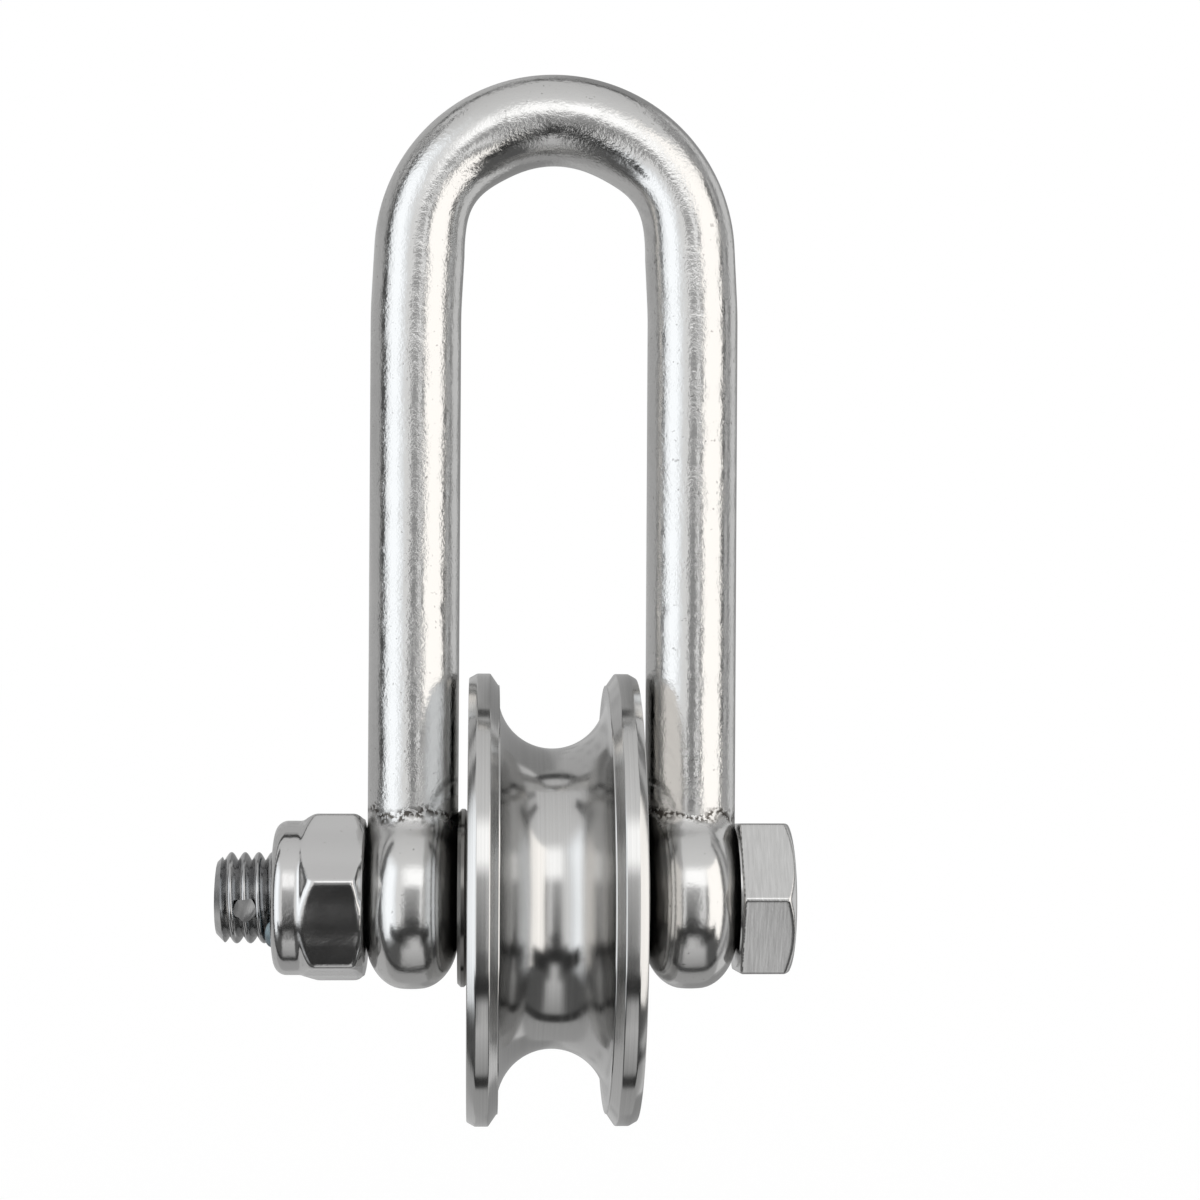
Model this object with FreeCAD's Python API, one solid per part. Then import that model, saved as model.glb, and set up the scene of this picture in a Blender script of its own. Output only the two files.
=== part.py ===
import FreeCAD, Part
import math
import os

# Shackle pulley: a forged bow, a bolt through its two eyes, and a grooved sheave on two ball bearings.
# Millimetres. The origin is the point of the crown's inside that a hook or rope bears on.
# +Z points up through the crown, +X runs along the bolt towards its head, and -Y is the front.

V = FreeCAD.Vector
ALONG_X = V(1, 0, 0)
ALONG_Z = V(0, 0, 1)

# Bow
BAR_D = 10.0  # round bar
INSIDE_LENGTH = 81.2  # bolt axis to the inside of the crown
LEG_SPLAY = 0.35  # each leg stands this much outside the crown's own half circle
SPLAY_DEG = 3.0  # slope of the bar where it leaves the crown
EASE_R = 60.0  # bend that brings the sloping bar upright again
EYE_D = 20.0
EYE_THICKNESS = 10.0
EYE_EDGE_R = 3.85  # rounding of the eye's rim
NECK_R = 4.4  # fillet between bar and eye
EYE_HOLE_GAP = 0.25  # radial room round the bolt

# Bolt
BOLT_D = 10.0
TIP_BEYOND_NUT = 6.3
HEAD_FLATS = 16.4
HEAD_HEIGHT = 6.1
HEAD_TURN_DEG = 5.3  # its front corner stands this much above the horizontal
WASHER_FACE_D = 15.4  # round face under the head
WASHER_FACE_HEIGHT = 0.15
HEAD_FACE_D = 15.6  # flat round end face inside the chamfer
HEAD_CHAMFER_DEG = 30.0
TIP_CHAMFER = 1.0
PIN_HOLE_D = 2.5  # cross hole for a split pin
PIN_HOLE_FROM_TIP = 3.4
PIN_HOLE_TURN_DEG = 10.4  # its front mouth lies this much below the horizontal

# Lock nut
NUT_FLATS = 17.0
NUT_HEX_HEIGHT = 6.9
NUT_HEIGHT = 10.1
NUT_FACE_D = 17.0  # flat round end face inside the chamfer
NUT_CHAMFER_DEG = 45.0
NUT_TURN_DEG = 16.6
NUT_COLLAR_D = 16.9
NUT_COLLAR_EDGE_R = 1.4
NUT_BORE_GAP = 0.05
NUT_ENTRY_CHAMFER = 0.5
NUT_LIP = 0.7  # rolled lip that holds the nylon ring
NUT_LIP_D = 12.0  # opening in the lip
NYLON_RING_D = 14.0
NYLON_BORE_GAP = 0.02

# Washers
WASHER_D = 19.6
WASHER_THICKNESS = 1.1
WASHER_HOLE_GAP = 0.25
WASHER_EDGE = 0.38

# Sheave
SHEAVE_D = 49.6
GROOVE_BOTTOM_D = 33.0
GROOVE_R = 6.0  # round bottom of the rope groove
GROOVE_WALL = 1.0  # straight wall above the round bottom
RIM_INNER_CHAMFER = 0.9  # along the axis, down to the straight wall
RIM_OUTER_CHAMFER_X = 0.9  # along the axis
RIM_OUTER_CHAMFER_R = 0.5  # in radius
HUB_SHOULDER_D = 23.0  # inside the web that parts the two bearings
HUB_EDGE = 0.4

# Ball bearings, 10 x 26 x 8
BEARING_WIDTH = 8.0
BEARING_D = 26.0
BALL_D = 4.762
BALL_COUNT = 7
BALL_PITCH_D = 18.0
BALL_PLAY = 0.03  # radial room between a ball and the bottom of each race
RACE_R = 2.48
RACE_DEPTH = 0.81  # from each ring's land to the bottom of its race
RING_EDGE = 0.4
RING_BORE_GAP = 0.02
PRESS_GAP = 0.01
SHIELD_STEP = 0.7  # the shield's seat stands this far outside the outer ring's land
SHIELD_SEAT_DEPTH = 1.2
SHIELD_RECESS = 0.4
SHIELD_THICKNESS = 0.3
SHIELD_LIP = 0.55
SHIELD_GAP = 0.35  # radial room round the inner ring
CAGE_GAP = 0.7  # radial room between the cage and each land
CAGE_WIDTH = 5.8
CAGE_POCKET_GAP = 0.12

# Spacer tube between the inner rings
SPACER_LENGTH = 2.5
SPACER_D = 14.0
SPACER_BORE_GAP = 0.2

# Places that follow from the sizes
AXIS_Z = -INSIDE_LENGTH
BOLT_R = BOLT_D / 2
SHEAVE_WIDTH = 2 * BEARING_WIDTH + SPACER_LENGTH
INSIDE_WIDTH = SHEAVE_WIDTH + 2 * WASHER_THICKNESS  # between the two eyes
EYE_INNER_X = INSIDE_WIDTH / 2
LEG_X = EYE_INNER_X + EYE_THICKNESS / 2
CROWN_R = LEG_X - LEG_SPLAY
EYE_FACE_X = EYE_INNER_X + EYE_THICKNESS
NECK_REACH = EYE_D + NECK_R  # height above the bolt axis up to which a leg is made with its eye
BOLT_TIP_X = -EYE_FACE_X - NUT_HEIGHT - TIP_BEYOND_NUT
INNER_RACE_R = (BALL_PITCH_D - BALL_D) / 2 - BALL_PLAY
OUTER_RACE_R = (BALL_PITCH_D + BALL_D) / 2 + BALL_PLAY
INNER_LAND_R = INNER_RACE_R + RACE_DEPTH
OUTER_LAND_R = OUTER_RACE_R - RACE_DEPTH
SHIELD_SEAT_R = OUTER_LAND_R + SHIELD_STEP
SIDES = {"nut": -1, "head": 1}


def on_axis(x, radius):
    """A point above the bolt axis, at a distance x along it and a radius from it."""
    return V(x, 0, AXIS_Z + radius)


def turned(edges_or_points):
    """A solid turned about the bolt axis, from the closed outline of half its section."""
    edges = edges_or_points
    if isinstance(edges[0], V):
        corners = edges + [edges[0]]
        edges = [Part.LineSegment(a, b).toShape() for a, b in zip(corners, corners[1:])]
    face = Part.Face(Part.Wire(edges))
    return face.revolve(V(0, 0, AXIS_Z), ALONG_X, 360)


def line(a, b):
    return Part.LineSegment(a, b).toShape()


def arc(a, middle, b):
    return Part.Arc(a, middle, b).toShape()


def tube(x_low, x_high, inner_r, outer_r, edge=0.0):
    """A ring round the bolt axis, with its four edges chamfered."""
    if not edge:
        return turned([
            on_axis(x_low, inner_r),
            on_axis(x_low, outer_r),
            on_axis(x_high, outer_r),
            on_axis(x_high, inner_r),
        ])
    return turned([
        on_axis(x_low, inner_r + edge),
        on_axis(x_low, outer_r - edge),
        on_axis(x_low + edge, outer_r),
        on_axis(x_high - edge, outer_r),
        on_axis(x_high, outer_r - edge),
        on_axis(x_high, inner_r + edge),
        on_axis(x_high - edge, inner_r),
        on_axis(x_low + edge, inner_r),
    ])


def drill(x_low, x_high, radius):
    """The round hole to take out along the bolt axis."""
    return Part.makeCylinder(radius, x_high - x_low, V(x_low, 0, AXIS_Z), ALONG_X)


def hexagon(x_low, x_high, flats, face_d, turn_deg, chamfer_deg, both_ends):
    """A hexagon bar along the bolt axis, turned down to a cone at its head-side end or at both."""
    corner_r = flats / 2 / math.cos(math.pi / 6)
    corners = []
    for k in range(7):
        angle = math.radians(turn_deg + 60 * k)
        corners.append(V(x_low, -corner_r * math.cos(angle), AXIS_Z + corner_r * math.sin(angle)))
    bar = Part.Face(Part.makePolygon(corners)).extrude(V(x_high - x_low, 0, 0))
    face_r = face_d / 2
    slope = (corner_r - face_r) * math.tan(math.radians(chamfer_deg))
    if both_ends:
        outline = [on_axis(x_low, face_r), on_axis(x_low + slope, corner_r)]
    else:
        outline = [on_axis(x_low, corner_r)]
    outline.append(on_axis(x_high - slope, corner_r))
    outline.append(on_axis(x_high, face_r))
    outline.append(on_axis(x_high, 0))
    outline.append(on_axis(x_low, 0))
    return bar.common(turned(outline))


def eye_end(side):
    """One eye with the foot of its leg, blended where the round bar runs into the flat disc."""
    centre = V(side * LEG_X, 0, AXIS_Z)
    disc = Part.makeCylinder(EYE_D / 2, EYE_THICKNESS, centre - ALONG_X * (EYE_THICKNESS / 2), ALONG_X)
    rims = [e for e in disc.Edges if isinstance(e.Curve, Part.Circle)]
    disc = disc.makeFillet(EYE_EDGE_R, rims)
    leg = Part.makeCylinder(BAR_D / 2, NECK_REACH, centre, ALONG_Z)
    joined = disc.fuse(leg).removeSplitter()
    neck = [e for e in joined.Edges if isinstance(e.Curve, Part.BSplineCurve)]
    return joined.makeFillet(NECK_R, neck)


def crown_bar():
    """The round bar from the top of one leg's foot, over the crown, to the other."""
    lean = math.radians(SPLAY_DEG)
    centre_z = BAR_D / 2 - CROWN_R
    crown_end = V(CROWN_R * math.cos(lean), 0, centre_z + CROWN_R * math.sin(lean))
    run = (LEG_X - crown_end.x - EASE_R * (1 - math.cos(lean))) / math.sin(lean)
    slope_end = crown_end + V(math.sin(lean), 0, -math.cos(lean)) * run
    ease_end = V(LEG_X, 0, slope_end.z - EASE_R * math.sin(lean))
    half = math.radians(SPLAY_DEG / 2)
    ease_middle = V(
        LEG_X - EASE_R * (1 - math.cos(half)),
        0,
        ease_end.z + EASE_R * math.sin(half),
    )
    foot = V(LEG_X, 0, AXIS_Z + NECK_REACH)

    def mirrored(p):
        return V(-p.x, p.y, p.z)

    path = Part.Wire([
        line(foot, ease_end),
        arc(ease_end, ease_middle, slope_end),
        line(slope_end, crown_end),
        arc(crown_end, V(0, 0, BAR_D / 2), mirrored(crown_end)),
        line(mirrored(crown_end), mirrored(slope_end)),
        arc(mirrored(slope_end), mirrored(ease_middle), mirrored(ease_end)),
        line(mirrored(ease_end), mirrored(foot)),
    ])
    section = Part.Wire([Part.Circle(foot, ALONG_Z, BAR_D / 2).toShape()])
    return path.makePipeShell([section], True, False)


def shackle_bow():
    bow = crown_bar()
    for side in SIDES.values():
        bow = bow.fuse(eye_end(side))
    bow = bow.removeSplitter()
    return bow.cut(drill(-EYE_FACE_X - 1, EYE_FACE_X + 1, BOLT_R + EYE_HOLE_GAP))


def hex_bolt():
    """Hexagon bolt, lying with its head on the head-side eye. Its thread is left plain here."""
    shank = turned([
        on_axis(BOLT_TIP_X, 0),
        on_axis(BOLT_TIP_X, BOLT_R - TIP_CHAMFER),
        on_axis(BOLT_TIP_X + TIP_CHAMFER, BOLT_R),
        on_axis(EYE_FACE_X + WASHER_FACE_HEIGHT, BOLT_R),
        on_axis(EYE_FACE_X + WASHER_FACE_HEIGHT, 0),
    ])
    washer_face = drill(EYE_FACE_X, EYE_FACE_X + WASHER_FACE_HEIGHT, WASHER_FACE_D / 2)
    head_low = EYE_FACE_X + WASHER_FACE_HEIGHT
    head_high = EYE_FACE_X + HEAD_HEIGHT
    head = hexagon(head_low, head_high, HEAD_FLATS, HEAD_FACE_D, HEAD_TURN_DEG, HEAD_CHAMFER_DEG, False)
    bolt = shank.fuse([washer_face, head]).removeSplitter()
    turn = math.radians(PIN_HOLE_TURN_DEG)
    hole_way = V(0, math.cos(turn), math.sin(turn))
    hole_centre = V(BOLT_TIP_X + PIN_HOLE_FROM_TIP, 0, AXIS_Z)
    hole = Part.makeCylinder(PIN_HOLE_D / 2, 2 * BOLT_D, hole_centre - hole_way * BOLT_D, hole_way)
    return bolt.cut(hole)


def lock_nut():
    """Hexagon nut whose round collar holds a nylon ring behind a rolled lip."""
    seat = -EYE_FACE_X
    hex_end = seat - NUT_HEX_HEIGHT
    end = seat - NUT_HEIGHT
    collar_r = NUT_COLLAR_D / 2
    bore_r = BOLT_R + NUT_BORE_GAP
    body = hexagon(hex_end, seat, NUT_FLATS, NUT_FACE_D, NUT_TURN_DEG, NUT_CHAMFER_DEG, True)
    edge = NUT_COLLAR_EDGE_R
    bend = edge * (1 - math.sqrt(0.5))
    collar = turned([
        line(on_axis(hex_end + edge, 0), on_axis(hex_end + edge, collar_r)),
        line(on_axis(hex_end + edge, collar_r), on_axis(end + edge, collar_r)),
        arc(on_axis(end + edge, collar_r), on_axis(end + bend, collar_r - bend),
            on_axis(end, collar_r - edge)),
        line(on_axis(end, collar_r - edge), on_axis(end, 0)),
        line(on_axis(end, 0), on_axis(hex_end + edge, 0)),
    ])
    entry = turned([
        on_axis(seat + 1, 0),
        on_axis(seat + 1, bore_r + NUT_ENTRY_CHAMFER + 1),
        on_axis(seat - NUT_ENTRY_CHAMFER, bore_r),
        on_axis(seat - NUT_ENTRY_CHAMFER, 0),
    ])
    hollows = [
        drill(end - 1, seat + 1, bore_r),
        drill(end + NUT_LIP, hex_end, NYLON_RING_D / 2),
        drill(end - 1, end + NUT_LIP, NUT_LIP_D / 2),
        entry,
    ]
    return body.fuse(collar).removeSplitter().cut(hollows)


def nut_nylon_ring():
    low = -EYE_FACE_X - NUT_HEIGHT + NUT_LIP
    high = -EYE_FACE_X - NUT_HEX_HEIGHT
    return tube(low, high, BOLT_R + NYLON_BORE_GAP, NYLON_RING_D / 2 - PRESS_GAP)


def washer(side):
    ends = sorted([side * EYE_INNER_X, side * (EYE_INNER_X - WASHER_THICKNESS)])
    return tube(ends[0], ends[1], BOLT_R + WASHER_HOLE_GAP, WASHER_D / 2, WASHER_EDGE)


def sheave_wheel():
    """Turned sheave: round-bottomed groove, chamfered rims, and a bearing seat in each side."""
    half = SHEAVE_WIDTH / 2
    rim_r = SHEAVE_D / 2
    bottom_r = GROOVE_BOTTOM_D / 2
    groove_r = bottom_r + GROOVE_R
    wall_r = groove_r + GROOVE_WALL
    crest_x = GROOVE_R + RIM_INNER_CHAMFER
    seat_r = BEARING_D / 2
    web_x = SPACER_LENGTH / 2
    side_outline = [
        on_axis(GROOVE_R, groove_r),
        on_axis(GROOVE_R, wall_r),
        on_axis(crest_x, rim_r),
        on_axis(half - RIM_OUTER_CHAMFER_X, rim_r),
        on_axis(half, rim_r - RIM_OUTER_CHAMFER_R),
        on_axis(half, seat_r + HUB_EDGE),
        on_axis(half - HUB_EDGE, seat_r),
        on_axis(web_x, seat_r),
        on_axis(web_x, HUB_SHOULDER_D / 2),
    ]
    other_outline = [V(-p.x, p.y, p.z) for p in reversed(side_outline)]
    corners = side_outline + other_outline
    edges = [line(a, b) for a, b in zip(corners, corners[1:])]
    edges.append(arc(corners[-1], on_axis(0, bottom_r), corners[0]))
    return turned(edges)


def bearing_centre(side):
    return side * (SHEAVE_WIDTH - BEARING_WIDTH) / 2


def race(side, tube_centre_r):
    """The round raceway to take out of a ring."""
    return Part.makeTorus(tube_centre_r, RACE_R, V(bearing_centre(side), 0, AXIS_Z), ALONG_X)


def inner_ring(side):
    x = bearing_centre(side)
    ring = tube(x - BEARING_WIDTH / 2, x + BEARING_WIDTH / 2, BOLT_R + RING_BORE_GAP,
                INNER_LAND_R, RING_EDGE)
    return ring.cut(race(side, INNER_RACE_R + RACE_R))


def outer_ring(side):
    x = bearing_centre(side)
    low = x - BEARING_WIDTH / 2
    high = x + BEARING_WIDTH / 2
    outer_r = BEARING_D / 2 - PRESS_GAP
    ring = turned([
        on_axis(low, SHIELD_SEAT_R),
        on_axis(low, outer_r - RING_EDGE),
        on_axis(low + RING_EDGE, outer_r),
        on_axis(high - RING_EDGE, outer_r),
        on_axis(high, outer_r - RING_EDGE),
        on_axis(high, SHIELD_SEAT_R),
        on_axis(high - SHIELD_SEAT_DEPTH, SHIELD_SEAT_R),
        on_axis(high - SHIELD_SEAT_DEPTH, OUTER_LAND_R),
        on_axis(low + SHIELD_SEAT_DEPTH, OUTER_LAND_R),
        on_axis(low + SHIELD_SEAT_DEPTH, SHIELD_SEAT_R),
    ])
    return ring.cut(race(side, OUTER_RACE_R - RACE_R))


def shield(side, facing):
    """Pressed shield, recessed in the outer ring's face on the side that it faces."""
    face = bearing_centre(side) + facing * BEARING_WIDTH / 2
    rim_r = SHIELD_SEAT_R - PRESS_GAP
    bore_r = INNER_LAND_R + SHIELD_GAP
    outside = face - facing * SHIELD_RECESS
    plate = outside - facing * SHIELD_THICKNESS
    foot = face - facing * SHIELD_SEAT_DEPTH
    return turned([
        on_axis(outside, bore_r),
        on_axis(outside, rim_r),
        on_axis(foot, rim_r),
        on_axis(foot, rim_r - SHIELD_LIP),
        on_axis(plate, rim_r - SHIELD_LIP),
        on_axis(plate, bore_r),
    ])


def balls(side, extra_r=0.0):
    """The balls of one bearing, or with extra_r the pockets that they turn in."""
    found = []
    for k in range(BALL_COUNT):
        angle = 2 * math.pi * k / BALL_COUNT
        centre = V(
            bearing_centre(side),
            -BALL_PITCH_D / 2 * math.sin(angle),
            AXIS_Z + BALL_PITCH_D / 2 * math.cos(angle),
        )
        outwards = centre - V(centre.x, 0, AXIS_Z)
        found.append(Part.makeSphere(BALL_D / 2 + extra_r, centre, outwards))
    return found


def cage(side):
    x = bearing_centre(side)
    ring = tube(x - CAGE_WIDTH / 2, x + CAGE_WIDTH / 2, INNER_LAND_R + CAGE_GAP,
                OUTER_LAND_R - CAGE_GAP)
    return ring.cut(balls(side, CAGE_POCKET_GAP))


def bearing_spacer():
    return tube(-SPACER_LENGTH / 2, SPACER_LENGTH / 2, BOLT_R + SPACER_BORE_GAP, SPACER_D / 2)


def pieces():
    """Every piece by its node's name."""
    found = {
        "shackle_bow": shackle_bow(),
        "hex_bolt": hex_bolt(),
        "lock_nut": lock_nut(),
        "nut_nylon_ring": nut_nylon_ring(),
        "washer_nut_side": washer(SIDES["nut"]),
        "washer_head_side": washer(SIDES["head"]),
        "sheave_wheel": sheave_wheel(),
        "bearing_spacer": bearing_spacer(),
    }
    for name, side in SIDES.items():
        found["bearing_" + name + "_outer_ring"] = outer_ring(side)
        found["bearing_" + name + "_inner_ring"] = inner_ring(side)
        found["bearing_" + name + "_balls"] = Part.Compound(balls(side))
        found["bearing_" + name + "_cage"] = cage(side)
        found["bearing_" + name + "_outer_shield"] = shield(side, side)
        found["bearing_" + name + "_inner_shield"] = shield(side, -side)
    return found


os.makedirs("parts", exist_ok=True)
for name, shape in pieces().items():
    shape.exportStep("parts/" + name + ".step")
    print(name, len(shape.Solids), "solids", round(shape.Volume, 1), "mm3", "valid", shape.isValid())
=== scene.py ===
# %% [markdown]
# # Shackle pulley
# A forged bow, a hexagon bolt with its lock nut, and a turned rope wheel on two ball bearings.
# Everything is in metres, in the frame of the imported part: the origin is on the inside of the bow's
# crown, +Z is up, +X runs along the bolt to its head, and -Y is the front.

# %% Load the frame
import math

import bmesh
import bpy
import numpy as np
from mathutils import Matrix, Vector


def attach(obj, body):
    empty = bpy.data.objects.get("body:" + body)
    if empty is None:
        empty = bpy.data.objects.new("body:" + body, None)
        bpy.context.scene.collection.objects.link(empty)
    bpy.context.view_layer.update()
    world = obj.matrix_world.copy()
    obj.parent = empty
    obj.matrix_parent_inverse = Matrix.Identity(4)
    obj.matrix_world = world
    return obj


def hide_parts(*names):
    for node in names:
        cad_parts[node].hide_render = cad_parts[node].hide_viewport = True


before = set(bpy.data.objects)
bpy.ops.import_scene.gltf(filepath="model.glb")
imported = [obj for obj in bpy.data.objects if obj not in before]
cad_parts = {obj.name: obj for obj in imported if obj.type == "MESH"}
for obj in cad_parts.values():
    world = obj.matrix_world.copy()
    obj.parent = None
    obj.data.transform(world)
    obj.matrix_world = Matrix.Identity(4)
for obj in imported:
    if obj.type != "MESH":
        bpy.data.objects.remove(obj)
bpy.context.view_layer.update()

# %% [markdown]
# ## Sizes
# The main sizes are those of the part's drawing, written in millimetres and turned into metres
# once, so that each piece below is built at its real size and place.

# %% Sizes shared by the pieces
MM = 0.001
AXIS_Z = -81.2 * MM
BAR_R = 5.0 * MM
LEG_X = 15.35 * MM
EYE_R = 10.0 * MM
EYE_HALF = 5.0 * MM
EYE_EDGE_R = 3.85 * MM
EYE_BARREL_R = 12.0 * MM
EYE_FACE_X = LEG_X + EYE_HALF
BOLT_R = 5.0 * MM
NUT_HEIGHT = 10.1 * MM
TIP_X = -EYE_FACE_X - NUT_HEIGHT - 6.3 * MM
print("bolt tip at", round(TIP_X / MM, 2), "mm, nut face at", round(-EYE_FACE_X / MM, 2), "mm")

# %% [markdown]
# ## Helpers for shapes
# Each finished mesh becomes an object at the origin that rides on a body of the CAD part and takes
# the place of one of its nodes, so that the joints move it as they move the solid. Pieces are cut
# and joined by exact Booleans, which keep holes round and flats flat. Where two shapes flow into
# each other, their distances are blended by a smooth maximum, because no bevel is as even.


# %% Helpers for shapes
def new_piece(name, bm, body, node):
    """An object of the finished mesh, riding on a CAD body in place of the named CAD node."""
    mesh = bpy.data.meshes.new(name)
    bm.normal_update()
    bm.to_mesh(mesh)
    bm.free()
    piece = bpy.data.objects.new(name, mesh)
    bpy.context.scene.collection.objects.link(piece)
    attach(piece, body)
    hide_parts(node)
    print(name, len(mesh.polygons), "faces")
    return piece


def smooth_faces(bm, sharp_deg):
    """Smooth shading, with the edges sharper than an angle kept sharp."""
    for face in bm.faces:
        face.smooth = True
    for edge in bm.edges:
        if len(edge.link_faces) == 2:
            edge.smooth = edge.calc_face_angle(0.0) < math.radians(sharp_deg)


def combine(first, second, operation):
    """One solid from two, by an exact Boolean."""
    objects = []
    for bm in (first, second):
        mesh = bpy.data.meshes.new("working")
        bm.to_mesh(mesh)
        bm.free()
        working = bpy.data.objects.new("working", mesh)
        bpy.context.scene.collection.objects.link(working)
        objects.append(working)
    cut = objects[0].modifiers.new("combine", "BOOLEAN")
    cut.object = objects[1]
    cut.operation = operation
    cut.solver = "EXACT"
    evaluated = objects[0].evaluated_get(bpy.context.evaluated_depsgraph_get())
    result = bmesh.new()
    result.from_mesh(evaluated.to_mesh())
    for working in objects:
        mesh = working.data
        bpy.data.objects.remove(working)
        bpy.data.meshes.remove(mesh)
    return result


def smooth_max(first, second, width):
    """The larger of two distances, rounded off where they meet."""
    share = np.clip(0.5 + 0.5 * (first - second) / width, 0, 1)
    return second * (1 - share) + first * share + width * share * (1 - share)


print("helpers for shapes ready")

# %% [markdown]
# ## The forged bow
# The real bow is a round bar, upset into an eye at each end, bent over a former and then polished.
# Its neck flows from the bar into the eye with no edge. A Boolean of a tube and two discs would
# leave a hard seam there, and a bevel along it breaks where the bar meets the disc flat on. So a
# rough shape of one swept bar and two discs is remeshed as one skin, and then every point is moved
# onto the exact surface: a given distance from the bar's centreline, blended into the discs. The
# discs are rounded at their edges and, as polished eyes are, a little barrelled.

# %% Centreline of the bar
LEAN = math.radians(3.0)
EASE_R = 60.0 * MM
CROWN_R = 15.0 * MM
CROWN_Z = BAR_R - CROWN_R
NECK_BLEND = 1.2 * MM
crown_end = Vector((CROWN_R * math.cos(LEAN), 0, CROWN_Z + CROWN_R * math.sin(LEAN)))
slope_run = (LEG_X - crown_end.x - EASE_R * (1 - math.cos(LEAN))) / math.sin(LEAN)
slope_end = crown_end + Vector((math.sin(LEAN), 0, -math.cos(LEAN))) * slope_run
ease_z = slope_end.z - EASE_R * math.sin(LEAN)
print("leg straight up to", round(ease_z / MM, 2), "mm, slope", round(slope_run / MM, 2), "mm")


def arc_foot(x, z, centre_x, centre_z, radius, start, end):
    """Distance from points to an arc in the plane of the bow."""
    angle = np.clip(np.arctan2(z - centre_z, x - centre_x), start, end)
    return np.hypot(x - centre_x - radius * np.cos(angle), z - centre_z - radius * np.sin(angle))


def run_foot(x, z, start, end):
    """Distance from points to a straight run in the plane of the bow."""
    along = end - start
    share = ((x - start.x) * along.x + (z - start.z) * along.z) / along.length_squared
    share = np.clip(share, 0, 1)
    return np.hypot(x - start.x - share * along.x, z - start.z - share * along.z)


# %% [markdown]
# Two things keep the bar from being a perfect tube: its inside was pressed a little flat on each
# side of the crown where it was bent over the former, and the bending tool left a small nick on the
# inner side of each leg.

# %% Surface of the bow
FLAT_DEG = 33.0
FLAT_SPREAD_DEG = 17.0
FLAT_DEPTH = 0.75 * MM
NICK_Z = -49.2 * MM
NICK_SIZE = 0.55 * MM
NICK_DEPTH = 0.08 * MM
NICK_FRONT_Y = -0.7 * BAR_R


def bow_distance(points):
    """Signed distance of points from the bow's skin, negative inside."""
    x = np.abs(points[:, 0])
    y = points[:, 1]
    z = points[:, 2]
    in_plane = np.minimum.reduce([
        run_foot(x, z, Vector((LEG_X, 0, AXIS_Z)), Vector((LEG_X, 0, ease_z))),
        arc_foot(x, z, LEG_X - EASE_R, ease_z, EASE_R, 0, LEAN),
        run_foot(x, z, slope_end, crown_end),
        arc_foot(x, z, 0, CROWN_Z, CROWN_R, LEAN, math.pi / 2),
    ])
    from_line = np.hypot(in_plane, y)
    crown_angle = np.degrees(np.arctan2(z - CROWN_Z, x))
    inwards = np.clip((CROWN_R - np.hypot(x, z - CROWN_Z)) / BAR_R, 0, 1)
    flat = np.exp(-(((crown_angle - FLAT_DEG) / FLAT_SPREAD_DEG) ** 2)) * (z > CROWN_Z)
    bar = from_line - BAR_R + FLAT_DEPTH * flat * inwards**2
    nick = np.exp(-((z - NICK_Z) ** 2 + (y - NICK_FRONT_Y) ** 2) / NICK_SIZE**2) * (x < LEG_X)
    bar = bar + NICK_DEPTH * nick
    radial = np.hypot(y, z - AXIS_Z)
    side_x = np.abs(x - LEG_X) - (EYE_HALF - EYE_EDGE_R)
    side_r = radial - (EYE_R - EYE_EDGE_R) + (x - LEG_X) ** 2 / (2 * EYE_BARREL_R)
    outside = np.hypot(np.maximum(side_x, 0), np.maximum(side_r, 0))
    eye = outside + np.minimum(np.maximum(side_x, side_r), 0) - EYE_EDGE_R
    return -smooth_max(-bar, -eye, NECK_BLEND)


# %% One skin over a rough shape
def pull_onto(bm, distance, rounds):
    """A mesh's points moved along the surface's slope until they lie on it."""
    step = 0.01 * MM
    places = np.array([v.co for v in bm.verts])
    for _ in range(rounds):
        here = distance(places)
        slope = np.stack([(distance(places + step * axis) - here) / step
                          for axis in np.eye(3)], axis=1)
        slope /= np.maximum(np.linalg.norm(slope, axis=1, keepdims=True), 1e-9)
        places -= here[:, None] * slope
    for vert, place in zip(bm.verts, places):
        vert.co = place


def one_skin(rough_bm, voxel, distance):
    """One even skin over a rough shape, with its points moved onto an exact surface."""
    mesh = bpy.data.meshes.new("rough")
    rough_bm.to_mesh(mesh)
    rough_bm.free()
    rough = bpy.data.objects.new("rough", mesh)
    bpy.context.scene.collection.objects.link(rough)
    remesh = rough.modifiers.new("one_skin", "REMESH")
    remesh.mode = "VOXEL"
    remesh.voxel_size = voxel
    skin = bmesh.new()
    skin.from_mesh(rough.evaluated_get(bpy.context.evaluated_depsgraph_get()).to_mesh())
    bpy.data.objects.remove(rough)
    pull_onto(skin, distance, 4)
    bmesh.ops.smooth_vert(skin, verts=skin.verts, factor=0.5, use_axis_x=True, use_axis_y=True,
                          use_axis_z=True)
    pull_onto(skin, distance, 3)
    bmesh.ops.recalc_face_normals(skin, faces=skin.faces)
    return skin


print("surface of the bow defined")

# %% Rough shape of the bow
bow = bmesh.new()
bmesh.ops.create_circle(bow, segments=40, radius=BAR_R,
                        matrix=Matrix.Translation((LEG_X, 0, AXIS_Z)))
start_edges = list(bow.edges)


def extrude_run(bm, edges, offset):
    """A straight run of the bar from its last ring of edges."""
    made = bmesh.ops.extrude_edge_only(bm, edges=edges)["geom"]
    bmesh.ops.translate(bm, verts=[g for g in made if isinstance(g, bmesh.types.BMVert)], vec=offset)
    return [g for g in made if isinstance(g, bmesh.types.BMEdge)]


def bend_run(bm, edges, centre, angle, steps):
    """A bend of the bar from its last ring of edges."""
    verts = list({v for e in edges for v in e.verts})
    made = bmesh.ops.spin(bm, geom=verts + edges, cent=centre, axis=(0, -1, 0), angle=angle,
                          steps=steps)["geom_last"]
    return [g for g in made if isinstance(g, bmesh.types.BMEdge)]


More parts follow.
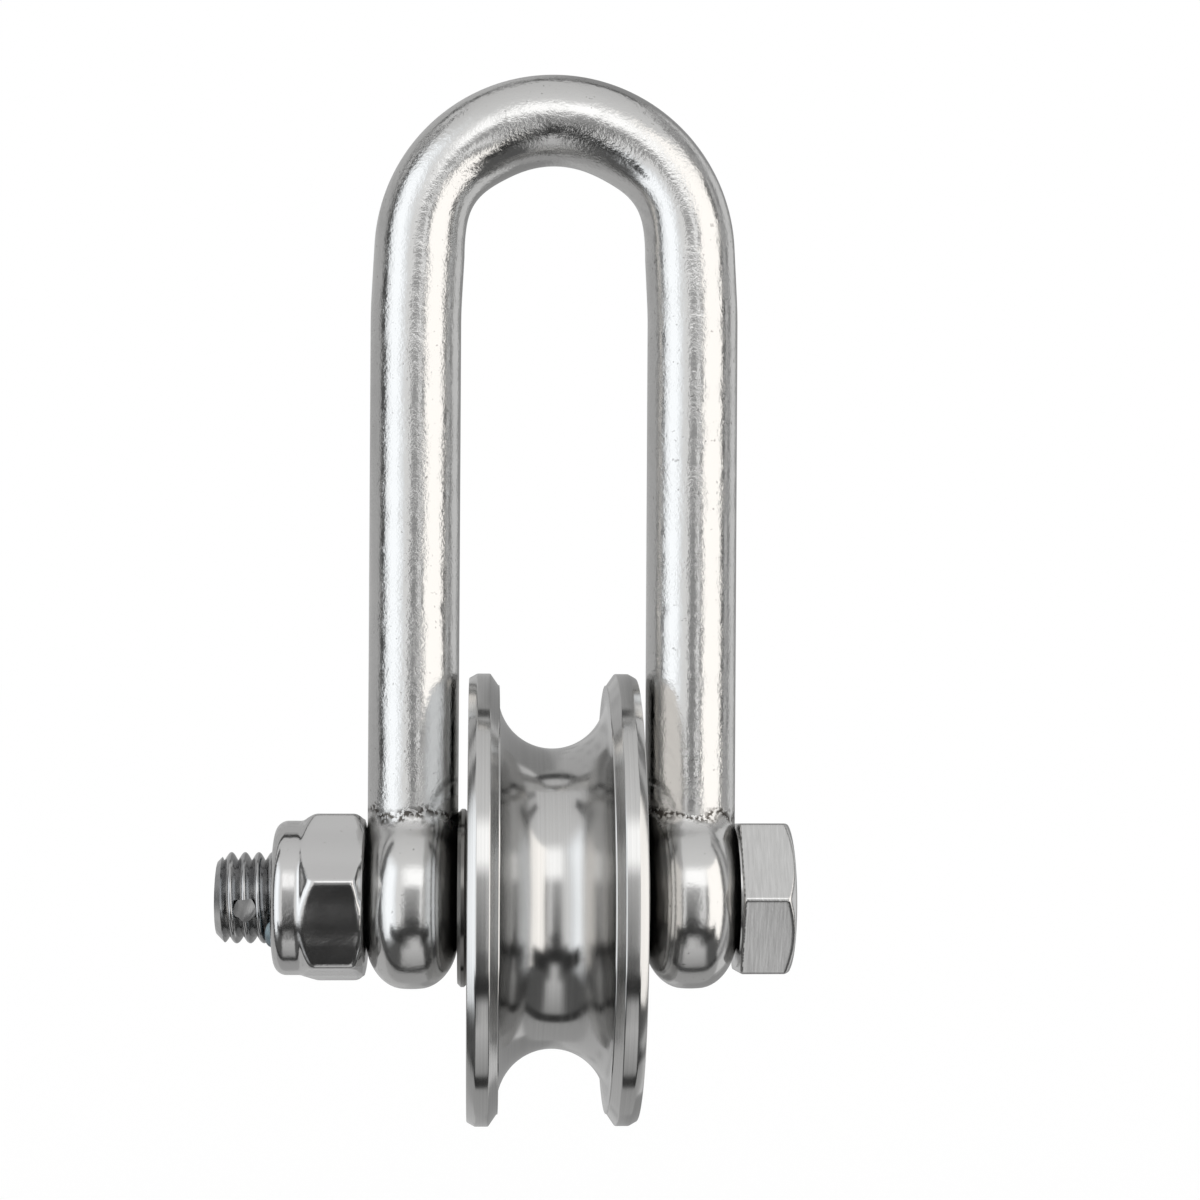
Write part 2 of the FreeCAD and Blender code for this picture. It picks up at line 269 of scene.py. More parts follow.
edges = extrude_run(bow, start_edges, (0, 0, ease_z - AXIS_Z))
edges = bend_run(bow, edges, (LEG_X - EASE_R, 0, ease_z), LEAN, 4)
edges = extrude_run(bow, edges, crown_end - slope_end)
edges = bend_run(bow, edges, (0, 0, CROWN_Z), math.pi - 2 * LEAN, 64)
edges = extrude_run(bow, edges, (crown_end.x - slope_end.x, 0, slope_end.z - crown_end.z))
edges = bend_run(bow, edges, (-LEG_X + EASE_R, 0, ease_z), LEAN, 4)
edges = extrude_run(bow, edges, (0, 0, AXIS_Z - ease_z))
bmesh.ops.holes_fill(bow, edges=[e for e in bow.edges if e.is_boundary])
across = Matrix.Rotation(math.pi / 2, 4, "Y")
for side in (-1, 1):
    bmesh.ops.create_cone(bow, cap_ends=True, segments=64, radius1=EYE_R - EYE_EDGE_R / 4,
                          radius2=EYE_R - EYE_EDGE_R / 4, depth=2 * EYE_HALF - EYE_EDGE_R / 2,
                          matrix=Matrix.Translation((side * LEG_X, 0, AXIS_Z)) @ across)
bmesh.ops.recalc_face_normals(bow, faces=bow.faces)
print("rough bow", len(bow.faces), "faces")

# %% One skin, moved onto the surface
BOW_VOXEL = 0.42 * MM
bow = one_skin(bow, BOW_VOXEL, bow_distance)
print("skin", len(bow.faces), "faces")

# %% Bolt holes through the eyes
EYE_HOLE_R = BOLT_R + 0.25 * MM
drill = bmesh.new()
bmesh.ops.create_cone(drill, cap_ends=True, segments=96, radius1=EYE_HOLE_R,
                      radius2=EYE_HOLE_R, depth=2.4 * EYE_FACE_X,
                      matrix=Matrix.Translation((0, 0, AXIS_Z)) @ across)
bow = combine(bow, drill, "DIFFERENCE")
smooth_faces(bow, 40)
bow_piece = new_piece("forged_bow", bow, "root", "shackle_bow")

# %% [markdown]
# ## The rope wheel
# A turned sheave: round-bottomed groove, thin flanges with chamfered rims, and a seat for a bearing
# in each side. On a lathe the tool follows one path and the turning does the rest, so here too a half
# section is spun about the bolt axis. A section is a list of (x, radius) pairs, and arcs in it are
# given by their centre and angles. The tool leaves each corner slightly broken. A Bevel modifier
# could round the corners of the finished wheel, but in the section each one is only a small arc,
# and the spin carries it round with no risk of crossing faces.


# %% Helpers for turned shapes
def arc_points(centre_x, centre_r, radius, start_deg, end_deg, count):
    """Points of an arc in a half section, by angle from the +X direction."""
    angles = np.radians(np.linspace(start_deg, end_deg, count))
    return [(centre_x + radius * math.cos(a), centre_r + radius * math.sin(a)) for a in angles]


def spin_section(section, steps=96, closed=True):
    """A turned solid: the half section spun round the bolt axis, with its seam merged. A section
    that isn't closed begins and ends on the axis."""
    bm = bmesh.new()
    verts = [bm.verts.new((x, 0, AXIS_Z + r)) for x, r in section]
    pairs = list(zip(verts, verts[1:]))
    if closed:
        pairs.append((verts[-1], verts[0]))
    edges = [bm.edges.new(pair) for pair in pairs]
    bmesh.ops.spin(bm, geom=verts + edges, cent=(0, 0, AXIS_Z), axis=(1, 0, 0),
                   angle=2 * math.pi, steps=steps, use_merge=True)
    bmesh.ops.remove_doubles(bm, verts=bm.verts, dist=1e-6)
    bmesh.ops.recalc_face_normals(bm, faces=bm.faces)
    return bm


print("helpers for turned shapes ready")

# %% Sheave section
SHEAVE_HALF = 9.25 * MM
RIM_R = 24.8 * MM
GROOVE_R = 6.0 * MM
GROOVE_BOTTOM_R = 16.5 * MM
CORNER = 0.12 * MM
SEAT_R = 13.0 * MM
WEB_HALF = 1.25 * MM
SHOULDER_R = 11.5 * MM
GROOVE_LIP = 1.0 * MM
RIM_CHAMFER = 0.9 * MM
RIM_DROP = 0.5 * MM
SEAT_CHAMFER = 0.4 * MM
WHEEL_STEPS = 240


def broken_corners(corners, radius, count=4):
    """A closed section whose corners are replaced by small arcs of tangent points."""
    made = []
    for k, corner in enumerate(corners):
        here = Vector(corner)
        before = Vector(corners[k - 1]) - here
        after = Vector(corners[(k + 1) % len(corners)]) - here
        reach = min(radius, 0.4 * before.length, 0.4 * after.length)
        start = here + before.normalized() * reach
        end = here + after.normalized() * reach
        for share in np.linspace(0, 1, count):
            made.append(tuple(start * (1 - share) ** 2 + here * 2 * share * (1 - share) + end * share**2))
    return made


flange = [
    (GROOVE_R, GROOVE_BOTTOM_R + GROOVE_R + GROOVE_LIP),
    (GROOVE_R + RIM_CHAMFER, RIM_R),
    (SHEAVE_HALF - RIM_CHAMFER, RIM_R),
    (SHEAVE_HALF, RIM_R - RIM_DROP),
    (SHEAVE_HALF, SEAT_R + SEAT_CHAMFER),
    (SHEAVE_HALF - SEAT_CHAMFER, SEAT_R),
    (WEB_HALF, SEAT_R),
    (WEB_HALF, SHOULDER_R),
]
mirrored = [(-x, r) for x, r in reversed(flange)]
corners = broken_corners(flange + mirrored, CORNER)
groove = arc_points(0, GROOVE_BOTTOM_R + GROOVE_R, GROOVE_R, 180, 360, 49)
wheel = spin_section(corners + groove, WHEEL_STEPS)
smooth_faces(wheel, 50)
wheel_piece = new_piece("turned_wheel", wheel, "wheel", "sheave_wheel")

# %% [markdown]
# ## The hexagon bolt
# The head is a hexagon whose outer end is turned to a cone, so that each corner shows an arc. Its
# edges are softly rounded, which is what catches the light. A bevel can't follow where the cone cuts
# the flats, so the head's skin is moved onto a rounded hexagon as the bow's was onto its surface.
# The shank is plain up to its end, which has a rolled thread of 1.5 mm pitch with rounded crests. The
# Screw modifier makes threads too, but one spin with a rise to each step gives the same helix, and
# leaves a closed solid that the tip's shape and the cross hole can be cut from.


# %% Helpers for hexagons
def hexagon_bar(x_low, x_high, flats, turn_deg):
    """A hexagon bar along the bolt axis, its first corner that far above the front."""
    bm = bmesh.new()
    place = Matrix.Translation(((x_low + x_high) / 2, 0, AXIS_Z))
    upright = Matrix.Rotation(math.pi / 2, 4, "Y")
    turn = Matrix.Rotation(math.radians(-turn_deg), 4, "X")
    bmesh.ops.create_cone(bm, cap_ends=True, segments=6, radius1=flats / math.sqrt(3),
                          radius2=flats / math.sqrt(3), depth=x_high - x_low,
                          matrix=place @ turn @ upright)
    return bm


def hexagon_distance(points, x_low, x_high, flats, turn_deg, edge, low_end, high_end):
    """Signed distance from a hexagon bar along the bolt axis. Each end gives the radius of its flat
    face, its chamfer in degrees and the rounding that joins it to the sides. A face as wide as the
    hexagon's flats leaves its end without a chamfer."""
    x = points[:, 0]
    y = points[:, 1]
    z = points[:, 2] - AXIS_Z
    sides = np.full(len(points), -flats)
    for k in range(6):
        angle = math.radians(turn_deg + 30 + 60 * k)
        sides = smooth_max(sides, z * math.sin(angle) - y * math.cos(angle) - flats / 2, edge)
    for out, (face_r, chamfer_deg, rounding) in ((x_low - x, low_end), (x - x_high, high_end)):
        chamfer = math.radians(chamfer_deg)
        cone = out * math.cos(chamfer) + (np.hypot(y, z) - face_r) * math.sin(chamfer)
        sides = smooth_max(smooth_max(sides, cone, edge), out, rounding)
    return sides


print("helpers for hexagons ready")

# %% Bolt head
HEAD_FLATS = 16.4 * MM
HEAD_TURN_DEG = 5.3
HEAD_SEAT_R = 7.7 * MM
HEAD_SEAT_HEIGHT = 0.15 * MM
HEAD_LOW = EYE_FACE_X + HEAD_SEAT_HEIGHT
HEAD_HIGH = EYE_FACE_X + 6.1 * MM
HEAD_FACE_R = 7.8 * MM
HEAD_EDGE = 0.3 * MM
HEX_VOXEL = 0.17 * MM


def head_distance(points):
    """Signed distance from the bolt's head."""
    return hexagon_distance(points, HEAD_LOW, HEAD_HIGH, HEAD_FLATS, HEAD_TURN_DEG, HEAD_EDGE,
                            (HEAD_FLATS, 45, HEAD_EDGE), (HEAD_FACE_R, 30, HEAD_EDGE))


head = one_skin(hexagon_bar(HEAD_LOW, HEAD_HIGH, HEAD_FLATS, HEAD_TURN_DEG), HEX_VOXEL, head_distance)
print("head", len(head.faces), "faces")

# %% Thread
PITCH = 1.5 * MM
THREAD_IN_NUT = 1.6 * MM
THREAD_END_X = -EYE_FACE_X - NUT_HEIGHT + THREAD_IN_NUT
THREAD_DEPTH = 0.9 * MM
ROOT_R = BOLT_R - THREAD_DEPTH
TURN_STEPS = 72
CREST_SHIFT = 0.7 * MM
turns = math.ceil((THREAD_END_X - TIP_X) / PITCH) + 3
thread = bmesh.new()
one_pitch = [(share, ROOT_R + THREAD_DEPTH * math.sin(math.pi * share) ** 1.1)
             for share in np.linspace(0, 1, 17)]
start_x = TIP_X + CREST_SHIFT - 2 * PITCH
verts = [thread.verts.new((start_x + share * PITCH, 0, AXIS_Z + r)) for share, r in one_pitch]
pitch_edges = [thread.edges.new(pair) for pair in zip(verts, verts[1:])]
bmesh.ops.spin(thread, geom=verts + pitch_edges, cent=(0, 0, AXIS_Z), axis=(1, 0, 0),
               dvec=(PITCH / TURN_STEPS, 0, 0), angle=2 * math.pi * turns, steps=TURN_STEPS * turns)
bmesh.ops.remove_doubles(thread, verts=thread.verts, dist=0.004 * MM)
for x_cut, side in ((TIP_X - 0.4 * MM, -1), (THREAD_END_X, 1)):
    bmesh.ops.bisect_plane(thread, geom=list(thread.verts) + list(thread.edges) + list(thread.faces),
                           plane_co=(x_cut, 0, 0), plane_no=(side, 0, 0), clear_outer=True)
    bmesh.ops.holes_fill(thread, edges=[e for e in thread.edges if e.is_boundary])
bmesh.ops.recalc_face_normals(thread, faces=thread.faces)
print("thread", len(thread.faces), "faces, open edges", sum(e.is_boundary for e in thread.edges))

# %% Shank, tip and cross hole
TIP_CHAMFER = 1.0 * MM
PIN_HOLE_R = 1.25 * MM
PIN_HOLE_FROM_TIP = 3.4 * MM
PIN_HOLE_TURN_DEG = 10.4
tip_envelope = spin_section([
    (TIP_X, 0),
    (TIP_X, BOLT_R - TIP_CHAMFER),
    (TIP_X + TIP_CHAMFER, BOLT_R),
    (TIP_X + TIP_CHAMFER, 1.2 * BOLT_R),
    (THREAD_END_X + 1 * MM, 1.2 * BOLT_R),
    (THREAD_END_X + 1 * MM, 0),
], closed=False)
thread = combine(thread, tip_envelope, "INTERSECT")
cross_hole = bmesh.new()
bmesh.ops.create_cone(cross_hole, cap_ends=True, segments=48, radius1=PIN_HOLE_R, radius2=PIN_HOLE_R,
                      depth=4 * BOLT_R,
                      matrix=Matrix.Translation((TIP_X + PIN_HOLE_FROM_TIP, 0, AXIS_Z))
                      @ Matrix.Rotation(math.radians(90 + PIN_HOLE_TURN_DEG), 4, "X"))
thread = combine(thread, cross_hole, "DIFFERENCE")
shank = spin_section([
    (THREAD_END_X - 0.05 * MM, 0),
    (THREAD_END_X - 0.05 * MM, ROOT_R),
    (THREAD_END_X + 0.8 * MM, BOLT_R),
    (EYE_FACE_X, BOLT_R),
    (EYE_FACE_X, HEAD_SEAT_R),
    (HEAD_LOW + 0.1 * MM, HEAD_SEAT_R),
    (HEAD_LOW + 0.1 * MM, 0),
], closed=False)
bolt = combine(combine(shank, head, "UNION"), thread, "UNION")
smooth_faces(bolt, 24)
bolt_piece = new_piece("threaded_bolt", bolt, "root", "hex_bolt")

# %% [markdown]
# ## The lock nut
# A hexagon with both ends chamfered, and a round collar whose lip was rolled over a nylon ring. The
# ring grips the thread, and where the bolt was driven through it, some nylon is squeezed out under
# the collar's lip. Joined by a Boolean, hexagon and collar would meet in a sharp line, and the real
# nut has a soft one, so both are one distance, with their meeting rounded. The bore is only seen at
# its mouth, and is cut by a Boolean of a spun section.

# %% Nut body
NUT_FLATS = 17.0 * MM
NUT_TURN_DEG = 16.6
NUT_END_X = -EYE_FACE_X - NUT_HEIGHT
NUT_HEX_X = -EYE_FACE_X - 6.9 * MM
NUT_OUTER_FACE_R = 8.6 * MM
NUT_SEAT_FACE_R = 8.7 * MM
COLLAR_R = 8.45 * MM
COLLAR_DEPTH = 6.0 * MM
COLLAR_EDGE_R = 1.4 * MM
NUT_EDGE = 0.42 * MM
SEAT_EDGE = 1.15 * MM
BORE_R = BOLT_R + 0.05 * MM
COLLAR_BLEND = 0.5 * MM


def nut_distance(points):
    """Signed distance from the nut with its collar."""
    hexagon = hexagon_distance(points, NUT_HEX_X, -EYE_FACE_X, NUT_FLATS, NUT_TURN_DEG, NUT_EDGE,
                               (NUT_OUTER_FACE_R, 45, NUT_EDGE), (NUT_SEAT_FACE_R, 45, SEAT_EDGE))
    x = points[:, 0]
    radial = np.hypot(points[:, 1], points[:, 2] - AXIS_Z)
    out_x = np.maximum(NUT_END_X + COLLAR_EDGE_R - x, x + EYE_FACE_X + NUT_EDGE)
    out_r = radial - COLLAR_R + COLLAR_EDGE_R
    outside = np.hypot(np.maximum(out_x, 0), np.maximum(out_r, 0))
    collar = outside + np.minimum(np.maximum(out_x, out_r), 0) - COLLAR_EDGE_R
    collar = np.maximum(collar, x + EYE_FACE_X + NUT_EDGE)
    return -smooth_max(-hexagon, -collar, COLLAR_BLEND)


rough_nut = hexagon_bar(NUT_HEX_X, -EYE_FACE_X, NUT_FLATS, NUT_TURN_DEG)
collar_place = Matrix.Translation((NUT_END_X + COLLAR_DEPTH / 2, 0, AXIS_Z)) @ across
bmesh.ops.create_cone(rough_nut, cap_ends=True, segments=64, radius1=COLLAR_R, radius2=COLLAR_R,
                      depth=COLLAR_DEPTH, matrix=collar_place)
nut = one_skin(rough_nut, HEX_VOXEL, nut_distance)
MOUTH_R = 6.0 * MM
RING_SEAT_R = 7.0 * MM
RING_X = NUT_END_X + 0.7 * MM
bore_section = [
    (NUT_END_X - 1 * MM, 0),
    (NUT_END_X - 1 * MM, MOUTH_R),
    (RING_X, MOUTH_R),
    (RING_X, RING_SEAT_R),
    (NUT_HEX_X, RING_SEAT_R),
    (NUT_HEX_X, BORE_R),
    (-EYE_FACE_X - 0.5 * MM, BORE_R),
    (-EYE_FACE_X + 0.5 * MM, BOLT_R + 1.05 * MM),
    (-EYE_FACE_X + 0.5 * MM, 0),
]
nut = combine(nut, spin_section(bore_section, closed=False), "DIFFERENCE")
smooth_faces(nut, 30)
nut_piece = new_piece("collar_nut", nut, "root", "lock_nut")

# %% Nylon ring
RING_ROOM = 0.01 * MM
SQUEEZED_HALVES = (0.8, 2.3, 0.5)
SQUEEZED_DEG = 44
SQUEEZED_R = BOLT_R + 0.4 * MM
nylon_section = [
    (RING_X, BOLT_R + 2 * RING_ROOM),
    (NUT_HEX_X, BOLT_R + 2 * RING_ROOM),
    (NUT_HEX_X, RING_SEAT_R - RING_ROOM),
    (RING_X, RING_SEAT_R - RING_ROOM),
]
nylon = spin_section(nylon_section)
squeezed = bmesh.new()
bmesh.ops.create_uvsphere(squeezed, u_segments=32, v_segments=20, radius=1.0 * MM,
                          matrix=Matrix.Diagonal((*SQUEEZED_HALVES, 1)))
for vert in squeezed.verts:
    turn = vert.co.y / SQUEEZED_R - math.radians(SQUEEZED_DEG)
    radial = SQUEEZED_R - vert.co.z
    vert.co.y = radial * math.sin(turn)
    vert.co.z = AXIS_Z - radial * math.cos(turn)
    vert.co.x += NUT_END_X
nylon = combine(nylon, squeezed, "UNION")
smooth_faces(nylon, 40)
nylon_piece = new_piece("nylon_ring", nylon, "root", "nut_nylon_ring")

# %% [markdown]
# ## Helpers for finishes
# A finish is a tree of nodes. The helpers add a node with its inputs set or linked by name, so that
# each finish below reads as a short list of what the surface does. All patterns read Object
# coordinates, which are metres of the frame here. A noise scale is then a number of marks to the
# metre, and a relief's depth is a real depth, and no UV map is needed on steel.


# %% Helpers for nodes
def add_node(tree, kind, inputs=None, **properties):
    """A node with its properties, and its inputs set to a value or linked to a socket."""
    made = tree.nodes.new(kind)
    for name, value in properties.items():
        setattr(made, name, value)
    for name, value in (inputs or {}).items():
        if isinstance(value, bpy.types.NodeSocket):
            tree.links.new(value, made.inputs[name])
        else:
            made.inputs[name].default_value = value
    return made


def new_group(name, input_names, output_names):
    """An empty group with number inputs and outputs, and its two end nodes."""
    tree = bpy.data.node_groups.new(name, "ShaderNodeTree")
    for socket_name, value in input_names.items():
        socket = tree.interface.new_socket(socket_name, in_out="INPUT", socket_type="NodeSocketFloat")
        socket.default_value = value
    for socket_name in output_names:
        tree.interface.new_socket(socket_name, in_out="OUTPUT", socket_type="NodeSocketFloat")
    return tree, tree.nodes.new("NodeGroupInput"), tree.nodes.new("NodeGroupOutput")


def new_material(name):
    """An empty material with its surface output."""
    material = bpy.data.materials.new(name)
    material.use_nodes = True
    material.node_tree.nodes.clear()
    return material, material.node_tree, add_node(material.node_tree, "ShaderNodeOutputMaterial")


def use_group(tree, group, inputs=None):
    """A group node in a material, as its outputs by name."""
    made = tree.nodes.new("ShaderNodeGroup")
    made.node_tree = group
    for name, value in (inputs or {}).items():
        made.inputs[name].default_value = value
    return made.outputs


print("helpers for nodes ready")

# %% Helpers for patterns
COLOUR_A, COLOUR_B, COLOUR_RESULT = 6, 7, 2


def object_place(tree):
    """Where a point lies, in metres of the frame."""
    return add_node(tree, "ShaderNodeTexCoord").outputs["Object"]


def place_along(tree, axis):
    """How far along one axis of the frame a point lies."""
    return add_node(tree, "ShaderNodeSeparateXYZ", {"Vector": object_place(tree)}).outputs[axis]


def calculate(tree, operation, first, second):
    """One sum of two numbers or sockets."""
    return add_node(tree, "ShaderNodeMath", {0: first, 1: second}, operation=operation).outputs[0]


def remap(tree, value, from_low, from_high, to_low, to_high):
    """A value mapped from one range to another, and held inside it."""
    return add_node(tree, "ShaderNodeMapRange", {
        "Value": value, "From Min": from_low, "From Max": from_high,
        "To Min": to_low, "To Max": to_high}).outputs["Result"]


def noise(tree, place, scale, detail=2.0, roughness=0.5):
    """Cloudy noise from 0 to 1, with about that many marks to the metre."""
    return add_node(tree, "ShaderNodeTexNoise", {
        "Vector": place, "Scale": scale, "Detail": detail, "Roughness": roughness}).outputs["Fac"]


def ring_noise(tree, distance, scale, detail=2.0, roughness=0.5):
    """Noise from 0 to 1 that only changes with one distance, with that many marks to the metre."""
    return add_node(tree, "ShaderNodeTexNoise", {
        "W": calculate(tree, "MULTIPLY", distance, scale), "Scale": 1.0, "Detail": detail,
        "Roughness": roughness}, noise_dimensions="1D").outputs["Fac"]


def mix_colours(tree, share, first, second):
    """A colour between two, each three numbers or a socket. The Mix node has sockets of one name
    for numbers, vectors and colours, so those for colours are picked by their place."""
    first, second = (c if isinstance(c, bpy.types.NodeSocket) else (*c, 1) for c in (first, second))
    made = add_node(tree, "ShaderNodeMix", {"Factor": share, COLOUR_A: first, COLOUR_B: second},
                    data_type="RGBA")
    return made.outputs[COLOUR_RESULT]


def relief(tree, height, depth, under=None, invert=False, strength=1.0):
    """A bump of a real depth, laid over another one where that is given."""
    made = add_node(tree, "ShaderNodeBump", {
        "Height": height, "Distance": depth, "Strength": strength}, invert=invert)
    if under is not None:
        tree.links.new(under, made.inputs["Normal"])
    return made.outputs["Normal"]


def add_steel(tree, surface, tone, roughness, normal, more=None):
    """The metal shader of a finish, linked to the material's surface."""
    steel = add_node(tree, "ShaderNodeBsdfPrincipled", {
        "Base Color": tone, "Metallic": 1.0, "Roughness": roughness, "Normal": normal,
        **(more or {})})
    tree.links.new(steel.outputs["BSDF"], surface.inputs["Surface"])


print("helpers for patterns ready")

# %% [markdown]
# ### Shared effects
# An effect of the tool or the polish is a group, built once: it gives a height, a mask or a tone,
# and each finish uses that in its own measure. Steel that was forged and then polished keeps a fine
# grain, a few tiny pits a tenth or two of a millimetre across, and a slow waviness. Turned steel has
# fine rings about the bolt axis, so their height changes only along X and outwards from the axis.
# Ground flats have straight lines, which are noise stretched along them. A painted image could show
# all this too, but noise has no seams and stays sharp at any distance.

# %% Pits and waviness
PATCH_SCALE = 330.0
WAVE_SCALE = 170.0
pits_group, ends_in, ends_out = new_group("polished_over_pits", {
    "Grain Scale": 2700.0, "Pit Scale": 1900.0}, ["Grain", "Pits", "Waves"])
place = object_place(pits_group)
grain = noise(pits_group, place, ends_in.outputs["Grain Scale"], 3.0, 0.6)
patches = remap(pits_group, noise(pits_group, place, PATCH_SCALE), 0.38, 0.62, 0.4, 1.0)
patchy_grain = calculate(pits_group, "MULTIPLY", grain, patches)
spots = noise(pits_group, place, ends_in.outputs["Pit Scale"], 1.0)
pits_group.links.new(patchy_grain, ends_out.inputs["Grain"])
pits_group.links.new(remap(pits_group, spots, 0.29, 0.22, 0.0, 1.0), ends_out.inputs["Pits"])
pits_group.links.new(noise(pits_group, place, WAVE_SCALE), ends_out.inputs["Waves"])
print("group", pits_group.name, "with", len(pits_group.nodes), "nodes")

# %% [markdown]
# The tool's feed is measured along X plus outwards. Outwards counts for more than along, so that a
# chamfer, where one grows as the other shrinks, has rings as well.

# %% Turning rings
OUTWARDS_SHARE = 1.6
BAND_SCALE = 900.0
rings_group, ends_in, ends_out = new_group("turned_rings", {"Ring Scale": 6000.0}, ["Rings", "Bands"])
spot = add_node(rings_group, "ShaderNodeSeparateXYZ", {"Vector": object_place(rings_group)}).outputs
from_axis = add_node(rings_group, "ShaderNodeCombineXYZ", {
    "Y": spot["Y"], "Z": calculate(rings_group, "SUBTRACT", spot["Z"], AXIS_Z)}).outputs[0]
radius = add_node(rings_group, "ShaderNodeVectorMath", {0: from_axis}, operation="LENGTH")
outwards = calculate(rings_group, "MULTIPLY", radius.outputs["Value"], OUTWARDS_SHARE)
feed = calculate(rings_group, "ADD", spot["X"], outwards)
fine_rings = ring_noise(rings_group, feed, ends_in.outputs["Ring Scale"], 3.0, 0.7)
rings_group.links.new(fine_rings, ends_out.inputs["Rings"])
rings_group.links.new(ring_noise(rings_group, feed, BAND_SCALE), ends_out.inputs["Bands"])
print("group", rings_group.name, "with", len(rings_group.nodes), "nodes")

# %% Ground lines
lines_group, ends_in, ends_out = new_group("ground_lines", {
    "Along X": 3500.0, "Along Y": 300.0, "Along Z": 300.0}, ["Lines"])
stretch = add_node(lines_group, "ShaderNodeCombineXYZ", {
    "X": ends_in.outputs["Along X"], "Y": ends_in.outputs["Along Y"], "Z": ends_in.outputs["Along Z"]})
stretched = add_node(lines_group, "ShaderNodeVectorMath", {
    0: object_place(lines_group), 1: stretch.outputs[0]}, operation="MULTIPLY")
lines_group.links.new(noise(lines_group, stretched.outputs[0], 1.0, 4.0, 0.65), ends_out.inputs["Lines"])
print("group", lines_group.name, "with", len(lines_group.nodes), "nodes")

# %% [markdown]
# ### Finish of the bow
# Bright stainless steel, which gives back about six tenths of the light. The bar keeps its grain and
# pits under the polish. The eyes were ground and polished again below an uneven seam, where little
# of the grain is left, and dark specks stay along the seam. The seam is a height on Z that wanders
# with noise, so no mask has to be painted, and both legs have it at the same height.

# %% Bow material
STEEL = (0.6, 0.597, 0.589)
SPECK = (0.07, 0.063, 0.055)
SEAM_Z = AXIS_Z + 9.5 * MM
SEAM_WANDER = 0.9 * MM
SEAM_DARKNESS = 0.95
PIT_DARKNESS = 0.36
ROUGHER_BY = 0.14
bow_finish, tree, surface = new_material("polished_bow_steel")
pits = use_group(tree, pits_group)
place = object_place(tree)
wander = noise(tree, place, PATCH_SCALE, 3.0, 0.6)
edge_z = remap(tree, wander, 0.3, 0.7, SEAM_Z - SEAM_WANDER, SEAM_Z + SEAM_WANDER)
above = calculate(tree, "SUBTRACT", place_along(tree, "Z"), edge_z)
on_bar = remap(tree, above, -0.3 * MM, 0.3 * MM, 0.0, 1.0)
from_seam = calculate(tree, "ABSOLUTE", above, 0.0)
near_seam = remap(tree, from_seam, 0.15 * MM, 0.85 * MM, 1.0, 0.0)
blurred = remap(tree, from_seam, 0.4 * MM, 2.4 * MM, 1.0, 0.0)
specks = remap(tree, noise(tree, place, 2100.0), 0.42, 0.5, 0.0, 1.0)
seam = calculate(tree, "MULTIPLY", near_seam, specks)
dark = calculate(tree, "MAXIMUM", calculate(tree, "MULTIPLY", seam, SEAM_DARKNESS),
                 calculate(tree, "MULTIPLY", pits["Pits"], PIT_DARKNESS))
rougher = calculate(tree, "MULTIPLY", calculate(tree, "MAXIMUM", dark, blurred), ROUGHER_BY)
roughness = calculate(tree, "ADD", remap(tree, on_bar, 0, 1, 0.17, 0.12), rougher)
grain = calculate(tree, "MULTIPLY", pits["Grain"], remap(tree, on_bar, 0, 1, 0.25, 1.0))
waved = relief(tree, pits["Waves"], 0.08 * MM)
grained = relief(tree, grain, 0.055 * MM, waved)
pitted = relief(tree, dark, 0.012 * MM, grained, invert=True)
add_steel(tree, surface, mix_colours(tree, dark, STEEL, SPECK), roughness, pitted)
bow_piece.data.materials.append(bow_finish)
print("finish", bow_finish.name)

# %% [markdown]
# ### Finish of the rope wheel
# Turned and left satin in the groove and on the rims, and faced smoother on the flat sides. Rings
# spread each reflection across themselves, which is what the radial tangent, turned a quarter, and
# the anisotropy give. The rings' height breaks it into fine streaks. The washers and the bearings
# are turned as well, so one function makes all of these finishes.


# %% Turned steel
def turned_steel(name, colour, roughness_low, roughness_high, ring_depth, ring_scale, anisotropy,
                 side_from=1.0):
    """Satin steel with turning rings about the bolt axis, faced smoother beyond a distance along it."""
    material, tree, surface = new_material(name)
    rings = use_group(tree, rings_group, {"Ring Scale": ring_scale})
    satin_tone = mix_colours(tree, rings["Rings"], [c * 0.82 for c in colour], colour)
    side_tone = mix_colours(tree, rings["Bands"], [c * 0.8 for c in colour], [c * 1.05 for c in colour])
    out_x = calculate(tree, "ABSOLUTE", place_along(tree, "X"), 0.0)
    on_side = remap(tree, out_x, side_from - 0.02 * MM, side_from, 0.0, 1.0)
    satin = remap(tree, rings["Bands"], 0.3, 0.7, roughness_low, roughness_high)
    roughness = calculate(tree, "MULTIPLY", satin, remap(tree, on_side, 0, 1, 1.0, 0.5))
    tangent = add_node(tree, "ShaderNodeTangent", direction_type="RADIAL", axis="X")
    add_steel(tree, surface, mix_colours(tree, on_side, satin_tone, side_tone), roughness,
              relief(tree, rings["Rings"], ring_depth), {
                  "Anisotropic": anisotropy, "Anisotropic Rotation": 0.25,
                  "Tangent": tangent.outputs[0]})
    print("finish", name)
    return material


wheel_finish = turned_steel("turned_wheel_steel", STEEL, 0.14, 0.19, 0.003 * MM, 5200.0, 0.75,
                            side_from=SHEAVE_HALF - 0.01 * MM)
wheel_piece.data.materials.append(wheel_finish)

# %% [markdown]
# ### Finish of the bolt and nut
# The bolt's head was ground, and shows fine upright lines, drawn by noise that changes fast along X
# and slowly along Y and Z. The thread is duller where it was scuffed. The nut is brightly polished,
# with a slow waviness from the spanner and no lines.

